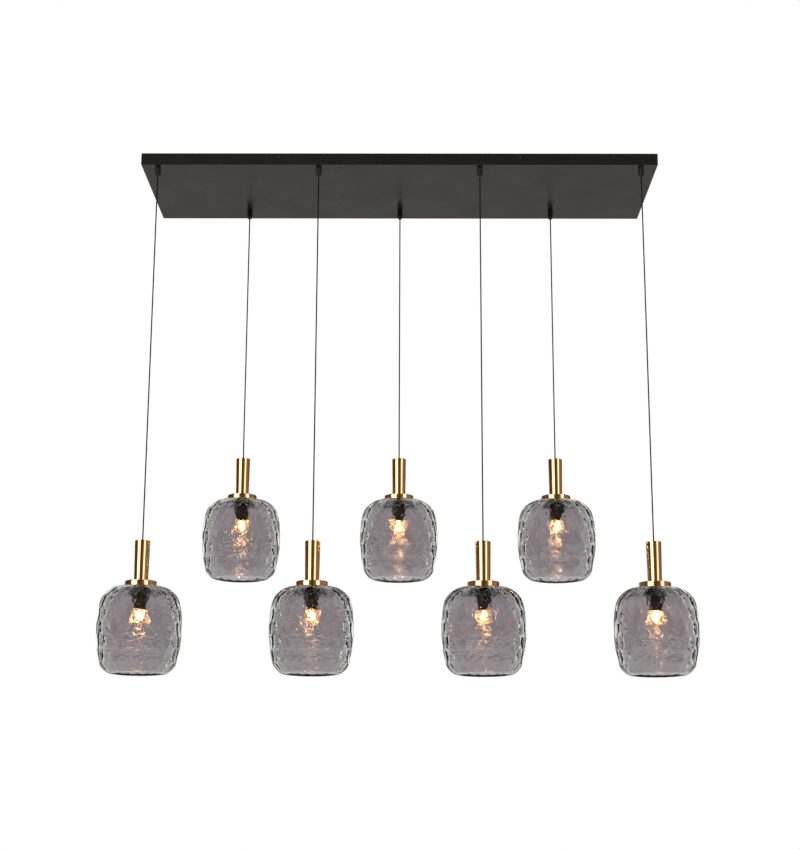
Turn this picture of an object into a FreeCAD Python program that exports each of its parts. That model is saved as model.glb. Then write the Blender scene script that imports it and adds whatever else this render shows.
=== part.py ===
# Cluster pendant: a long flat ceiling canopy from which seven glass pendants hang on thin
# cables, in turn from a front row (hanging low) and from a back row (hanging high).
# Millimetres. +Z is up, X runs along the canopy and -Y is the front. The origin lies on the
# ceiling plane, in the middle of the four screw holes of the two ceiling brackets.
import FreeCAD, Part
import math
import os

import Sketcher

PENDANTS = range(1, 8)
MIDDLE_PENDANT = 4
WAYS = range(1, 9)
MIDDLE_WAY = (WAYS[0] + WAYS[-1]) / 2

SIZES = {
    # layout under the ceiling
    "pendant_spacing": (203, "from one pendant to the next, along the canopy"),
    "end_margin": (41, "from the last pendant's axis to the canopy's end"),
    "front_margin": (15, "from the front row to the canopy's front face"),
    "row_gap": (300, "from the front row to the back row"),
    "back_margin": (65, "from the back row to the canopy's back face"),
    "front_drop": (1300, "from the ceiling to the glass rims of the front row"),
    "back_drop": (1035, "from the ceiling to the glass rims of the back row"),
    # canopy pan, a folded steel tray
    "pan_height": (30, "height of the pan"),
    "pan_wall": (1.5, "sheet thickness of the pan"),
    "pan_edge": (1.2, "outer bend radius of the pan"),
    # ceiling brackets and the screws that hold the pan to them
    "bracket_width": (30, "width of the strap"),
    "bracket_sheet": (2, "thickness of the strap"),
    "bracket_tab": (20, "height of the strap's turned-down ends"),
    "bracket_gap": (0.5, "from each turned-down end to the pan wall"),
    "ceiling_hole_spacing": (200, "between the two ceiling holes of a strap"),
    "ceiling_hole_radius": (2.75, "ceiling hole"),
    "side_screw_depth": (10, "side screws below the ceiling"),
    "side_screw_radius": (2, "thread of a side screw"),
    "side_screw_length": (8, "thread length of a side screw"),
    "side_screw_head": (3.5, "head radius of a side screw"),
    "side_screw_dome": (2.2, "head height of a side screw"),
    "side_screw_flat": (2.3, "radius of the flat top of a side screw's head"),
    # cord grips, their nuts and clamp screws
    "grip_radius": (7, "outside of a cord grip"),
    "grip_length": (26, "from the pan's underside to the grip's mouth"),
    "grip_taper": (4, "height of the tapered mouth"),
    "grip_mouth_radius": (4, "outside of the tapered mouth"),
    "grip_tail_radius": (5, "threaded tail of a cord grip"),
    "grip_tail_rise": (1, "tail above its nut"),
    "nut_radius": (8, "corner radius of the six-sided grip nut"),
    "nut_height": (3.5, "height of the grip nut"),
    "clamp_screw_radius": (1.5, "clamp screw in the side of a grip"),
    "clamp_screw_level": (16, "clamp screw above the grip's mouth"),
    # suspension cable
    "cable_radius": (1.6, "outside of the cable"),
    "cable_clearance": (0.2, "room round the cable in every hole that it passes"),
    "flex_gap": (0.3, "free gap above and below the flexing stretch of the cable"),
    # clearances shared by all threads and holes
    "thread_clearance": (0.05, "between a thread and its hole"),
    "hole_clearance": (0.25, "between a screw or tail and a plain hole"),
    # wiring in the canopy
    "lead_depth": (15, "level of the leads below the ceiling"),
    "lead_rise_bend": (9, "bend radius where a lead leaves its grip"),
    "lead_bend": (20, "bend radius of a lead along the pan"),
    "lead_side_step": (60, "side step of the middle pendant's lead"),
    "lead_insert": (4, "length of a lead inside the terminal block"),
    "way_pitch": (9, "between two ways of the terminal block"),
    "block_width": (20, "terminal block, across its ways"),
    "block_end": (4.5, "from the last way to the block's end"),
    "block_height": (17, "height of the terminal block"),
    "way_screw_radius": (1.6, "screw of a terminal way"),
    "way_screw_inset": (4, "terminal screw from the block's side"),
    "way_screw_sink": (0.2, "terminal screw below the block's top"),
    "earth_x": (100, "earth stud from the canopy's middle, along X"),
    "earth_y": (60, "earth stud from the canopy's middle, along Y"),
    "earth_radius": (2, "thread of the earth stud"),
    "earth_length": (13, "height of the earth stud"),
    "earth_nut_radius": (4, "corner radius of the earth nut"),
    "earth_nut_height": (3.2, "height of the earth nut"),
    # glass shade
    "shade_height": (205, "height of the glass"),
    "shade_radius": (100, "largest radius of the glass"),
    "belly_depth": (98, "largest radius below the top of the glass"),
    "side_curve": (320, "radius of the bulging side"),
    "shoulder_curve": (52, "radius of the shoulder"),
    "corner_curve": (34, "radius of the lower corner"),
    "shade_wall": (3, "thickness of the glass"),
    "mouth_radius": (55, "open mouth of the glass"),
    "neck_clearance": (1, "between the glass's top hole and the lampholder"),
    # brass cap and stem
    "cap_radius": (38, "outside of the cap"),
    "cap_height": (13, "height of the cap"),
    "cap_sheet": (1.5, "thickness of the cap"),
    "cap_edge": (2, "outer bend radius of the cap"),
    "stem_radius": (18.2, "outside of the stem tube at its closed top"),
    "stem_foot_radius": (16.8, "outside of the stem tube where it stands on the cap"),
    "stem_length": (97, "length of the stem tube"),
    "stem_sheet": (1.2, "wall of the stem tube"),
    "stem_plate": (3, "thickness of the stem's top plate"),
    "stem_edge": (0.6, "broken edge round the stem's top"),
    "boss_radius": (8, "threaded boss under the stem's top plate"),
    "boss_height": (8, "height of the threaded boss"),
    # threaded tube, lampholder and the ring that clamps the glass
    "nipple_radius": (5, "threaded tube that holds the head together"),
    "nipple_bore": (3.4, "bore of the threaded tube"),
    "nipple_entry": (10, "length of the threaded tube in the lampholder"),
    "holder_radius": (14, "threaded upper part of the lampholder"),
    "skirt_radius": (18, "skirt of the lampholder"),
    "skirt_depth": (31, "end of the skirt below the top of the glass"),
    "taper_height": (14, "tapered end of the lampholder"),
    "holder_wall": (2.5, "wall of the lampholder at its mouth"),
    "holder_mouth_depth": (12, "depth of the lampholder's mouth"),
    "ring_radius": (21, "outside of the clamping ring"),
    "ring_height": (4, "height of the clamping ring"),
    # bulb
    "bulb_radius": (20, "globe of the bulb"),
    "bulb_neck_radius": (10.5, "neck of the bulb"),
    "bulb_shoulder": (14, "where the neck runs into the globe, out from and above its centre"),
    "bulb_neck_gap": (9, "from the lampholder's mouth to the globe's shoulder"),
    "bulb_cap_radius": (7, "screw cap of the bulb"),
    "bulb_cap_length": (20, "length of the screw cap"),
    "bulb_clearance": (1, "round the bulb's neck in the lampholder"),
    "bulb_contact_gap": (1, "above the bulb's cap and round its lead"),
}

doc = FreeCAD.newDocument("cluster_pendant")
dims = doc.addObject("Spreadsheet::Sheet", "dims")
for row, (alias, (number, meaning)) in enumerate(SIZES.items(), start=1):
    dims.set(f"A{row}", meaning)
    dims.set(f"B{row}", str(number))
    dims.setAlias(f"B{row}", alias)
doc.recompute()

# lengths and levels that follow from the sheet
CANOPY_LENGTH = f"({len(PENDANTS) - 1} * dims.pendant_spacing + 2 * dims.end_margin)"
CANOPY_WIDTH = "(dims.front_margin + dims.row_gap + dims.back_margin)"
BRACKET_X = "(1.5 * dims.pendant_spacing)"  # midway between two pendants
PAN_FLOOR = "(dims.pan_wall - dims.pan_height)"
GRIP_MOUTH = "(-dims.pan_height - dims.grip_length)"
GRIP_TAIL = "(dims.pan_wall + dims.nut_height + dims.grip_tail_rise)"
CABLE_HOLE = "(dims.cable_radius + dims.cable_clearance)"
BLOCK_HALF = f"({MIDDLE_WAY - WAYS[0]} * dims.way_pitch + dims.block_end)"

# levels in a pendant head, above the rim of its glass
GLASS_TOP = "dims.shade_height"
CAP_TOP = "(dims.shade_height + dims.cap_height)"
HEAD_TOP = "(dims.shade_height + dims.cap_height + dims.stem_length)"
HOLDER_TOP = f"({CAP_TOP} - dims.cap_sheet)"
RING_LOW = "(dims.shade_height - dims.shade_wall - dims.ring_height)"
SKIRT_LOW = "(dims.shade_height - dims.skirt_depth)"
HOLDER_LOW = f"({SKIRT_LOW} - dims.taper_height)"
HOLDER_BORE = "(dims.bulb_neck_radius + dims.bulb_clearance)"
BULB_CAP_LOW = f"({HOLDER_LOW} + dims.holder_mouth_depth)"
BULB_CAP_TOP = f"({BULB_CAP_LOW} + dims.bulb_cap_length)"
BULB_CENTRE = f"({HOLDER_LOW} - dims.bulb_neck_gap - dims.bulb_shoulder)"


def value(expression):
    """What an expression of the sheet's sizes comes to now."""
    return float(dims.evalExpression(expression))


def put(obj, x="0", y="0", z="0", tilt=0):
    """Place a piece at expressions, tilted about X where it needs it."""
    spot = FreeCAD.Vector(value(x), value(y), value(z))
    obj.Placement = FreeCAD.Placement(spot, FreeCAD.Rotation(FreeCAD.Vector(1, 0, 0), tilt))
    for axis, expression in zip("xyz", (x, y, z)):
        obj.setExpression(f"Placement.Base.{axis}", expression)
    return obj


# ---- sketches and features -------------------------------------------------------------

def new_body(label):
    body = doc.addObject("PartDesign::Body", label)
    body.Label = label
    return body


def new_sketch(body, name, plane, level="0"):
    """Sketch on one of the body's own origin planes, lifted to a level."""
    sketch = body.newObject("Sketcher::SketchObject", name)
    origin_plane = next(item for item in body.Origin.OriginFeatures if item.Role == plane)
    sketch.AttachmentSupport = [(origin_plane, "")]
    sketch.MapMode = "FlatFace"
    sketch.setExpression("AttachmentOffset.Base.z", level)
    return sketch


def bound(sketch, kind, references, expression):
    """Dimension of a sketch, bound to the sheet."""
    index = sketch.addConstraint(Sketcher.Constraint(kind, *references, value(expression)))
    sketch.setExpression(f"Constraints[{index}]", expression)


def tie(sketch, kind, *references):
    sketch.addConstraint(Sketcher.Constraint(kind, *references))


def pin_point(sketch, item, end, across, up):
    """Fix a point of a sketch at two expressions; "0" puts it on the axis itself."""
    for kind, axis, expression in (("DistanceX", -2, across), ("DistanceY", -1, up)):
        if expression == "0":
            tie(sketch, "PointOnObject", item, end, axis)
        else:
            bound(sketch, kind, (-1, 1, item, end), expression)


def draw_outline(sketch, corners):
    """Closed outline of straight lines through corners given as pairs of expressions."""
    spots = [FreeCAD.Vector(value(across), value(up), 0) for across, up in corners]
    first = sketch.GeometryCount
    for start, end in zip(spots, spots[1:] + spots[:1]):
        sketch.addGeometry(Part.LineSegment(start, end), False)
    for index, (across, up) in enumerate(corners):
        following = (index + 1) % len(corners)
        tie(sketch, "Coincident", first + index, 2, first + following, 1)
        pin_point(sketch, first + index, 1, across, up)


def draw_rectangle(sketch, half_across, half_up):
    draw_outline(sketch, [(f"-{half_across}", f"-{half_up}"), (half_across, f"-{half_up}"),
                          (half_across, half_up), (f"-{half_across}", half_up)])


def draw_circles(sketch, centres, radius):
    """Circles of one radius at pairs of expressions."""
    for across, up in centres:
        spot = FreeCAD.Vector(value(across), value(up), 0)
        circle = sketch.addGeometry(Part.Circle(spot, FreeCAD.Vector(0, 0, 1), value(radius)), False)
        pin_point(sketch, circle, 3, across, up)
        bound(sketch, "Radius", (circle,), radius)


def add_feature(body, kind, name, sketch, length=None, symmetric=False):
    feature = body.newObject(f"PartDesign::{kind}", name)
    feature.Profile = sketch
    if symmetric:
        feature.SideType = "Symmetric"
    if length:
        feature.setExpression("Length", length)
    else:
        feature.Type = "ThroughAll"
    return feature


def round_edges(body, name, radius, chosen):
    """Round those edges of the body's last feature that the test picks."""
    doc.recompute()
    last = body.Tip
    edges = [f"Edge{i}" for i, edge in enumerate(last.Shape.Edges, start=1) if chosen(edge)]
    fillet = body.newObject("PartDesign::Fillet", name)
    fillet.Base = (last, edges)
    fillet.setExpression("Radius", radius)


def turn_about_axis(body, sketch):
    turned = body.newObject("PartDesign::Revolution", f"{body.Name}_turned")
    turned.Profile = sketch
    turned.ReferenceAxis = (sketch, ["V_Axis"])
    turned.Angle = 360


def turned_piece(label, corners):
    """Piece turned about its Z axis from (radius, height) corners."""
    body = new_body(label)
    sketch = new_sketch(body, f"{label}_outline", "XZ_Plane")
    draw_outline(sketch, corners)
    turn_about_axis(body, sketch)
    return body


def cylinder(label, radius, height):
    rod = doc.addObject("Part::Cylinder", label)
    rod.Label = label
    rod.setExpression("Radius", radius)
    rod.setExpression("Height", height)
    return rod


def six_sided_nut(label, corner_radius, height, bore):
    prism = doc.addObject("Part::Prism", f"{label}_blank")
    prism.Polygon = 6
    prism.setExpression("Circumradius", corner_radius)
    prism.setExpression("Height", height)
    hole = cylinder(f"{label}_bore", bore, height)
    nut = doc.addObject("Part::Cut", label)
    nut.Base = prism
    nut.Tool = hole
    return nut


def group(label, pieces):
    """Separate solids that share one node."""
    pieces_together = doc.addObject("Part::Compound", label)
    pieces_together.Label = label
    pieces_together.Links = pieces
    return pieces_together


# ---- where the pendants hang -----------------------------------------------------------

def in_front_row(number):
    return number % 2 == 1


def pendant_x(number):
    return f"({number - MIDDLE_PENDANT} * dims.pendant_spacing)"


def pendant_y(number):
    if in_front_row(number):
        return f"(dims.front_margin - {CANOPY_WIDTH} / 2)"
    return f"({CANOPY_WIDTH} / 2 - dims.back_margin)"


def pendant_drop(number):
    return "dims.front_drop" if in_front_row(number) else "dims.back_drop"


def hang(piece, number, level):
    return put(piece, pendant_x(number), pendant_y(number), level)


# ---- canopy ----------------------------------------------------------------------------

def canopy_pan():
    """Steel tray, open to the ceiling, with a hole for each grip and four side holes."""
    body = new_body("canopy_pan")
    floor = new_sketch(body, "pan_outline", "XY_Plane", "-dims.pan_height")
    draw_rectangle(floor, f"({CANOPY_LENGTH} / 2)", f"({CANOPY_WIDTH} / 2)")
    add_feature(body, "Pad", "pan_blank", floor, "dims.pan_height")

    def is_outer_bend(edge):
        return edge.BoundBox.ZMin < -value("dims.pan_height") / 2

    round_edges(body, "pan_bends", "dims.pan_edge", is_outer_bend)
    hollow = new_sketch(body, "pan_hollow_outline", "XY_Plane")
    draw_rectangle(hollow, f"({CANOPY_LENGTH} / 2 - dims.pan_wall)",
                   f"({CANOPY_WIDTH} / 2 - dims.pan_wall)")
    add_feature(body, "Pocket", "pan_hollow", hollow, "dims.pan_height - dims.pan_wall")
    tails = new_sketch(body, "grip_hole_centres", "XY_Plane")
    draw_circles(tails, [(pendant_x(n), pendant_y(n)) for n in PENDANTS],
                 "(dims.grip_tail_radius + dims.hole_clearance)")
    add_feature(body, "Pocket", "grip_holes", tails)
    sides = new_sketch(body, "side_hole_centres", "XZ_Plane")
    draw_circles(sides, [(f"-{BRACKET_X}", "-dims.side_screw_depth"),
                         (BRACKET_X, "-dims.side_screw_depth")],
                 "(dims.side_screw_radius + dims.hole_clearance)")
    add_feature(body, "Pocket", "side_holes", sides, symmetric=True)
    return body


def ceiling_bracket(label, across):
    """Steel strap across the canopy, with two ceiling holes and turned-down tapped ends."""
    body = new_body(label)
    end = f"({CANOPY_WIDTH} / 2 - dims.pan_wall - dims.bracket_gap)"
    inner = f"({end} - dims.bracket_sheet)"
    strap = new_sketch(body, f"{label}_profile", "YZ_Plane")
    draw_outline(strap, [(f"-{end}", "-dims.bracket_tab"), (f"-{end}", "0"), (end, "0"),
                         (end, "-dims.bracket_tab"), (inner, "-dims.bracket_tab"),
                         (inner, "-dims.bracket_sheet"), (f"-{inner}", "-dims.bracket_sheet"),
                         (f"-{inner}", "-dims.bracket_tab")])
    add_feature(body, "Pad", f"{label}_strap", strap, "dims.bracket_width", symmetric=True)
    ceiling = new_sketch(body, f"{label}_ceiling_centres", "XY_Plane")
    draw_circles(ceiling, [("0", "-dims.ceiling_hole_spacing / 2"),
                           ("0", "dims.ceiling_hole_spacing / 2")], "dims.ceiling_hole_radius")
    add_feature(body, "Pocket", f"{label}_ceiling_holes", ceiling, symmetric=True)
    tapped = new_sketch(body, f"{label}_tapped_centre", "XZ_Plane")
    draw_circles(tapped, [("0", "-dims.side_screw_depth")],
                 "(dims.side_screw_radius + dims.thread_clearance)")
    add_feature(body, "Pocket", f"{label}_tapped_holes", tapped, symmetric=True)
    return put(body, across)


def side_screw(label, across, face, tilt):
    """Pan-head screw through the pan wall into the bracket's turned-down end."""
    screw = turned_piece(label, [
        ("0", "-dims.side_screw_length"), ("dims.side_screw_radius", "-dims.side_screw_length"),
        ("dims.side_screw_radius", "0"), ("dims.side_screw_head", "0"),
        ("dims.side_screw_head", "dims.side_screw_dome / 2"),
        ("dims.side_screw_flat", "dims.side_screw_dome"), ("0", "dims.side_screw_dome")])
    return put(screw, across, face, "-dims.side_screw_depth", tilt)


def side_screws():
    screws = []
    for side, across in (("left", f"-{BRACKET_X}"), ("right", BRACKET_X)):
        screws.append(side_screw(f"screw_front_{side}", across, f"-{CANOPY_WIDTH} / 2", 90))
        screws.append(side_screw(f"screw_back_{side}", across, f"{CANOPY_WIDTH} / 2", -90))
    return group("side_screws", screws)


# ---- cord grips ------------------------------------------------------------------------

def clamp_rod(label, number, radius):
    """Rod that lies across a grip, from the cable to just under the grip's outside."""
    rod = cylinder(label, radius, "(dims.grip_radius - dims.cable_radius - dims.thread_clearance)")
    return put(rod, pendant_x(number),
               f"({pendant_y(number)} + dims.cable_radius + dims.thread_clearance)",
               f"({GRIP_MOUTH} + dims.clamp_screw_level)", -90)


def cord_grip(number):
    """Black grip with a tapered mouth, a cable bore and a threaded tail through the pan."""
    tail_top = f"(dims.grip_length + {GRIP_TAIL})"
    blank = turned_piece(f"grip_blank_{number}", [
        (CABLE_HOLE, "0"), ("dims.grip_mouth_radius", "0"), ("dims.grip_radius", "dims.grip_taper"),
        ("dims.grip_radius", "dims.grip_length"), ("dims.grip_tail_radius", "dims.grip_length"),
        ("dims.grip_tail_radius", tail_top), (CABLE_HOLE, tail_top)])
    hang(blank, number, GRIP_MOUTH)
    tapped = clamp_rod(f"grip_tapping_{number}", number,
                       "(dims.clamp_screw_radius + dims.thread_clearance)")
    tapped.setExpression("Height", "dims.grip_radius")
    grip = doc.addObject("Part::Cut", f"grip_{number}")
    grip.Base = blank
    grip.Tool = tapped
    return grip


def grip_nut(number):
    nut = six_sided_nut(f"grip_nut_{number}", "dims.nut_radius", "dims.nut_height",
                        "(dims.grip_tail_radius + dims.thread_clearance)")
    return hang(nut, number, PAN_FLOOR)


# ---- wiring in the canopy --------------------------------------------------------------

# The way of the terminal block that each pendant's lead goes to, counted from the front.
# Left-hand pendants come in from the left; the others, with the middle one, from the right.
LEAD_WAYS = {3: 2, 1: 4, 2: 6, 5: 1, 7: 3, 6: 5, 4: 7}


def way_y(way):
    return f"({way - MIDDLE_WAY} * dims.way_pitch)"


def tube_along(points, bends, radius):
    """Round tube on straight runs joined by tangent arcs, one bend radius per inner point."""
    edges = []
    start = points[0]
    for before, corner, after, bend in zip(points, points[1:], points[2:], bends):
        back = (before - corner).normalize()
        ahead = (after - corner).normalize()
        half_turn = (math.pi - back.getAngle(ahead)) / 2
        reach = bend * math.tan(half_turn)
        inward = (back + ahead).normalize()
        centre = corner + inward * (bend / math.cos(half_turn))
        enter = corner + back * reach
        leave = corner + ahead * reach
        edges.append(Part.LineSegment(start, enter).toShape())
        edges.append(Part.Arc(enter, centre - inward * bend, leave).toShape())
        start = leave
    edges.append(Part.LineSegment(start, points[-1]).toShape())
    path = Part.Wire(edges)
    disc = Part.Circle(points[0], points[1] - points[0], radius).toShape()
    tube = path.makePipeShell([Part.Wire(disc)], True, False)
    expected = math.pi * radius ** 2 * path.Length
    print(f"lead: length {path.Length:.0f}, bends {bends}, volume {tube.Volume / expected:.4f} of its section")
    return tube


def canopy_lead(number):
    """Upper end of a pendant's cable: up through the grip and over to the terminal block."""
    x = value(pendant_x(number))
    y = value(pendant_y(number))
    way = value(way_y(LEAD_WAYS[number]))
    level = -value("dims.lead_depth")
    bends = [value("dims.lead_rise_bend"), value("dims.lead_bend"), value("dims.lead_bend")]
    side = -1 if number < MIDDLE_PENDANT else 1
    foot = FreeCAD.Vector(x, y, value(f"{GRIP_MOUTH} + dims.cable_radius + dims.flex_gap"))
    top = FreeCAD.Vector(x, y, level)
    points = [foot, top]
    if number == MIDDLE_PENDANT:
        x = value("dims.lead_side_step")
        points.append(FreeCAD.Vector(x, y, level))
    points.append(FreeCAD.Vector(x, way, level))
    inside = side * value("dims.block_width / 2 - dims.lead_insert")
    points.append(FreeCAD.Vector(inside, way, level))
    lead = doc.addObject("Part::Feature", f"lead_{number}")
    lead.Shape = tube_along(points, bends[:len(points) - 2], value("dims.cable_radius"))
    return lead


def terminal_block():
    """White block with eight ways, a screw hole at each end of every way."""
    body = new_body("terminal_block")
    base = new_sketch(body, "block_outline", "XY_Plane", PAN_FLOOR)
    draw_rectangle(base, "(dims.block_width / 2)", BLOCK_HALF)
    add_feature(body, "Pad", "block_blank", base, "dims.block_height")
    ways = new_sketch(body, "way_centres", "YZ_Plane")
    draw_circles(ways, [(way_y(way), "-dims.lead_depth") for way in WAYS], CABLE_HOLE)
    add_feature(body, "Pocket", "ways", ways, symmetric=True)
    screws = new_sketch(body, "way_screw_centres", "XY_Plane")
    draw_circles(screws, [(f"{side} * (dims.block_width / 2 - dims.way_screw_inset)", way_y(way))
                          for side in (-1, 1) for way in WAYS],
                 "(dims.way_screw_radius + dims.thread_clearance)")
    add_feature(body, "Pocket", "way_screw_holes", screws, "dims.lead_depth")
    return body


def terminal_screws():
    block_top = f"({PAN_FLOOR} + dims.block_height)"
    tip = "(dims.cable_radius + dims.thread_clearance - dims.lead_depth)"
    screws = []
    for side in (-1, 1):
        for way in WAYS:
            screw = cylinder(f"way_screw_{way}_{'left' if side < 0 else 'right'}",
                             "dims.way_screw_radius", f"({block_top} - dims.way_screw_sink - {tip})")
            put(screw, f"{side} * (dims.block_width / 2 - dims.way_screw_inset)", way_y(way), tip)
            screws.append(screw)
    return group("terminal_screws", screws)


def earth_terminal():
    """Stud welded to the pan floor, with its nut."""
    stud = cylinder("earth_stud", "dims.earth_radius", "dims.earth_length")
    nut = six_sided_nut("earth_nut", "dims.earth_nut_radius", "dims.earth_nut_height",
                        "(dims.earth_radius + dims.thread_clearance)")
    for piece in (stud, nut):
        put(piece, "dims.earth_x", "dims.earth_y", PAN_FLOOR)
    return group("earth_terminal", [stud, nut])


# ---- one pendant -----------------------------------------------------------------------

def cable_bend(number):
    """Short stretch of cable that flexes at the grip's mouth, as a ball at the bend."""
    ball = doc.addObject("Part::Sphere", f"cable_bend_{number}")
    ball.setExpression("Radius", "dims.cable_radius")
    return hang(ball, number, GRIP_MOUTH)


def cable(number):
    """Straight cable from the grip's mouth down to the top of the stem."""
    foot = f"({HEAD_TOP} - {pendant_drop(number)})"
    top = f"({GRIP_MOUTH} - dims.cable_radius - dims.flex_gap)"
    return hang(cylinder(f"cable_{number}", "dims.cable_radius", f"({top} - {foot})"), number, foot)


def stem(number):
    """Brass tube, a little wider towards its closed top, with a cable hole and a threaded
    boss inside."""
    foot_bore = "(dims.stem_foot_radius - dims.stem_sheet)"
    top_bore = "(dims.stem_radius - dims.stem_sheet)"
    plate_low = f"({HEAD_TOP} - dims.stem_plate)"
    boss_low = f"({plate_low} - dims.boss_height)"
    thread = "(dims.nipple_radius + dims.thread_clearance)"
    body = turned_piece(f"stem_{number}", [
        (foot_bore, CAP_TOP), ("dims.stem_foot_radius", CAP_TOP),
        ("dims.stem_radius", f"({HEAD_TOP} - dims.stem_edge)"),
        ("(dims.stem_radius - dims.stem_edge)", HEAD_TOP), (CABLE_HOLE, HEAD_TOP),
        (CABLE_HOLE, plate_low), (thread, plate_low), (thread, boss_low),
        ("dims.boss_radius", boss_low), ("dims.boss_radius", plate_low), (top_bore, plate_low)])
    return hang(body, number, f"-{pendant_drop(number)}")


def cap(number):
    """Brass cap, a shallow cup with a rounded edge, that sits on the flat top of the glass."""
    inside = "(dims.cap_radius - dims.cap_sheet)"
    hole = "(dims.nipple_radius + dims.thread_clearance)"
    body = turned_piece(f"cap_{number}", [
        (inside, GLASS_TOP), ("dims.cap_radius", GLASS_TOP), ("dims.cap_radius", CAP_TOP),
        (hole, CAP_TOP), (hole, HOLDER_TOP), (inside, HOLDER_TOP)])

    def is_top_rim(edge):
        box = edge.BoundBox
        return box.ZMin > value(HOLDER_TOP) and box.XMax > value(inside)

    round_edges(body, f"cap_bend_{number}", "dims.cap_edge", is_top_rim)
    return hang(body, number, f"-{pendant_drop(number)}")


def arc(centre, radius, start, end):
    circle = Part.Circle(FreeCAD.Vector(*centre, 0), FreeCAD.Vector(0, 0, 1), radius)
    return Part.ArcOfCircle(circle, start, end)


def line(start, end):
    return Part.LineSegment(FreeCAD.Vector(*start, 0), FreeCAD.Vector(*end, 0))


def draw_shade_wall(sketch):
    """Wall of the glass, closed over its top and mouth: flat top, round shoulder, bulging
    side, tighter lower corner and flat bottom, all tangent."""
    height = value("dims.shade_height")
    wall = value("dims.shade_wall")
    side_radius = value("dims.side_curve")
    shoulder = value("dims.shoulder_curve")
    corner = value("dims.corner_curve")
    side = (value("dims.shade_radius") - side_radius, height - value("dims.belly_depth"))
    shoulder_rise = height - shoulder - side[1]
    corner_fall = side[1] - corner
    shoulder_x = side[0] + math.sqrt((side_radius - shoulder) ** 2 - shoulder_rise ** 2)
    corner_x = side[0] + math.sqrt((side_radius - corner) ** 2 - corner_fall ** 2)
    upper = math.atan2(shoulder_rise, shoulder_x - side[0])
    lower = math.atan2(-corner_fall, corner_x - side[0])
    for inset in (0, wall):
        sketch.addGeometry([
            line((0, height - inset), (shoulder_x, height - inset)),
            arc((shoulder_x, height - shoulder), shoulder - inset, upper, math.pi / 2),
            arc(side, side_radius - inset, lower, upper),
            arc((corner_x, corner), corner - inset, -math.pi / 2, lower),
            line((corner_x, inset), (0, inset))], False)
    sketch.addGeometry([line((0, height), (0, height - wall)), line((0, 0), (0, wall))], False)
    for first, inset in ((0, "0"), (5, "dims.shade_wall")):
        top, round_top, flank, round_low, bottom = range(first, first + 5)
        tie(sketch, "Horizontal", top)
        tie(sketch, "Horizontal", bottom)
        pin_point(sketch, top, 1, "0", f"(dims.shade_height - {inset})")
        pin_point(sketch, bottom, 2, "0", inset)
        tie(sketch, "Tangent", top, 2, round_top, 2)
        tie(sketch, "Tangent", round_top, 1, flank, 2)
        tie(sketch, "Tangent", flank, 1, round_low, 2)
        tie(sketch, "Tangent", round_low, 1, bottom, 1)
        pin_point(sketch, flank, 3, "(dims.shade_radius - dims.side_curve)",
                  "(dims.shade_height - dims.belly_depth)")
        for item, radius in ((round_top, "shoulder_curve"), (flank, "side_curve"),
                             (round_low, "corner_curve")):
            bound(sketch, "Radius", (item,), f"(dims.{radius} - {inset})")
    for edge, outer, inner, end in ((10, 0, 5, 1), (11, 4, 9, 2)):
        tie(sketch, "Coincident", edge, 1, outer, end)
        tie(sketch, "Coincident", edge, 2, inner, end)


def shade(number):
    """Blown glass shade, open below, with a hole in its top for the lampholder."""
    body = new_body(f"shade_{number}")
    wall = new_sketch(body, f"shade_wall_{number}", "XZ_Plane")
    draw_shade_wall(wall)
    turn_about_axis(body, wall)
    for name, level, radius in (("mouth", "dims.shade_height / 2", "dims.mouth_radius"),
                                ("neck", "dims.shade_height",
                                 "(dims.holder_radius + dims.neck_clearance)")):
        opening = new_sketch(body, f"{name}_outline_{number}", "XY_Plane", level)
        draw_circles(opening, [("0", "0")], radius)
        add_feature(body, "Pocket", f"{name}_{number}", opening, "dims.shade_height / 2")
    return hang(body, number, f"-{pendant_drop(number)}")


def lampholder(number):
    """Lampholder with the ring that clamps the glass against the cap, the threaded tube
    that pulls stem, cap and holder together, and the cable's lower end inside it."""
    thread = "(dims.nipple_radius + dims.thread_clearance)"
    entry_low = f"({HOLDER_TOP} - dims.nipple_entry)"
    screw_bore = "(dims.bulb_cap_radius + dims.thread_clearance)"
    screw_top = f"({BULB_CAP_TOP} + dims.bulb_contact_gap)"
    holder = turned_piece(f"holder_{number}", [
        (thread, HOLDER_TOP), ("dims.holder_radius", HOLDER_TOP), ("dims.holder_radius", RING_LOW),
        ("dims.skirt_radius", RING_LOW), ("dims.skirt_radius", SKIRT_LOW),
        (f"({HOLDER_BORE} + dims.holder_wall)", HOLDER_LOW), (HOLDER_BORE, HOLDER_LOW),
        (HOLDER_BORE, BULB_CAP_LOW), (screw_bore, BULB_CAP_LOW), (screw_bore, screw_top),
        (CABLE_HOLE, screw_top), (CABLE_HOLE, entry_low), (thread, entry_low)])
    ring_high = f"({RING_LOW} + dims.ring_height)"
    ring_bore = "(dims.holder_radius + dims.thread_clearance)"
    ring = turned_piece(f"clamp_ring_{number}", [
        (ring_bore, RING_LOW), ("dims.ring_radius", RING_LOW), ("dims.ring_radius", ring_high),
        (ring_bore, ring_high)])
    nipple_top = f"({HEAD_TOP} - dims.stem_plate)"
    nipple = turned_piece(f"nipple_{number}", [
        ("dims.nipple_bore", entry_low), ("dims.nipple_radius", entry_low),
        ("dims.nipple_radius", nipple_top), ("dims.nipple_bore", nipple_top)])
    for piece in (holder, ring, nipple):
        hang(piece, number, f"-{pendant_drop(number)}")
    tail_low = f"({screw_top} + dims.bulb_contact_gap)"
    tail = cylinder(f"cable_tail_{number}", "dims.cable_radius", f"({HEAD_TOP} - {tail_low})")
    hang(tail, number, f"({tail_low} - {pendant_drop(number)})")
    return group(f"lampholder_{number}", [holder, ring, nipple, tail])


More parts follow.
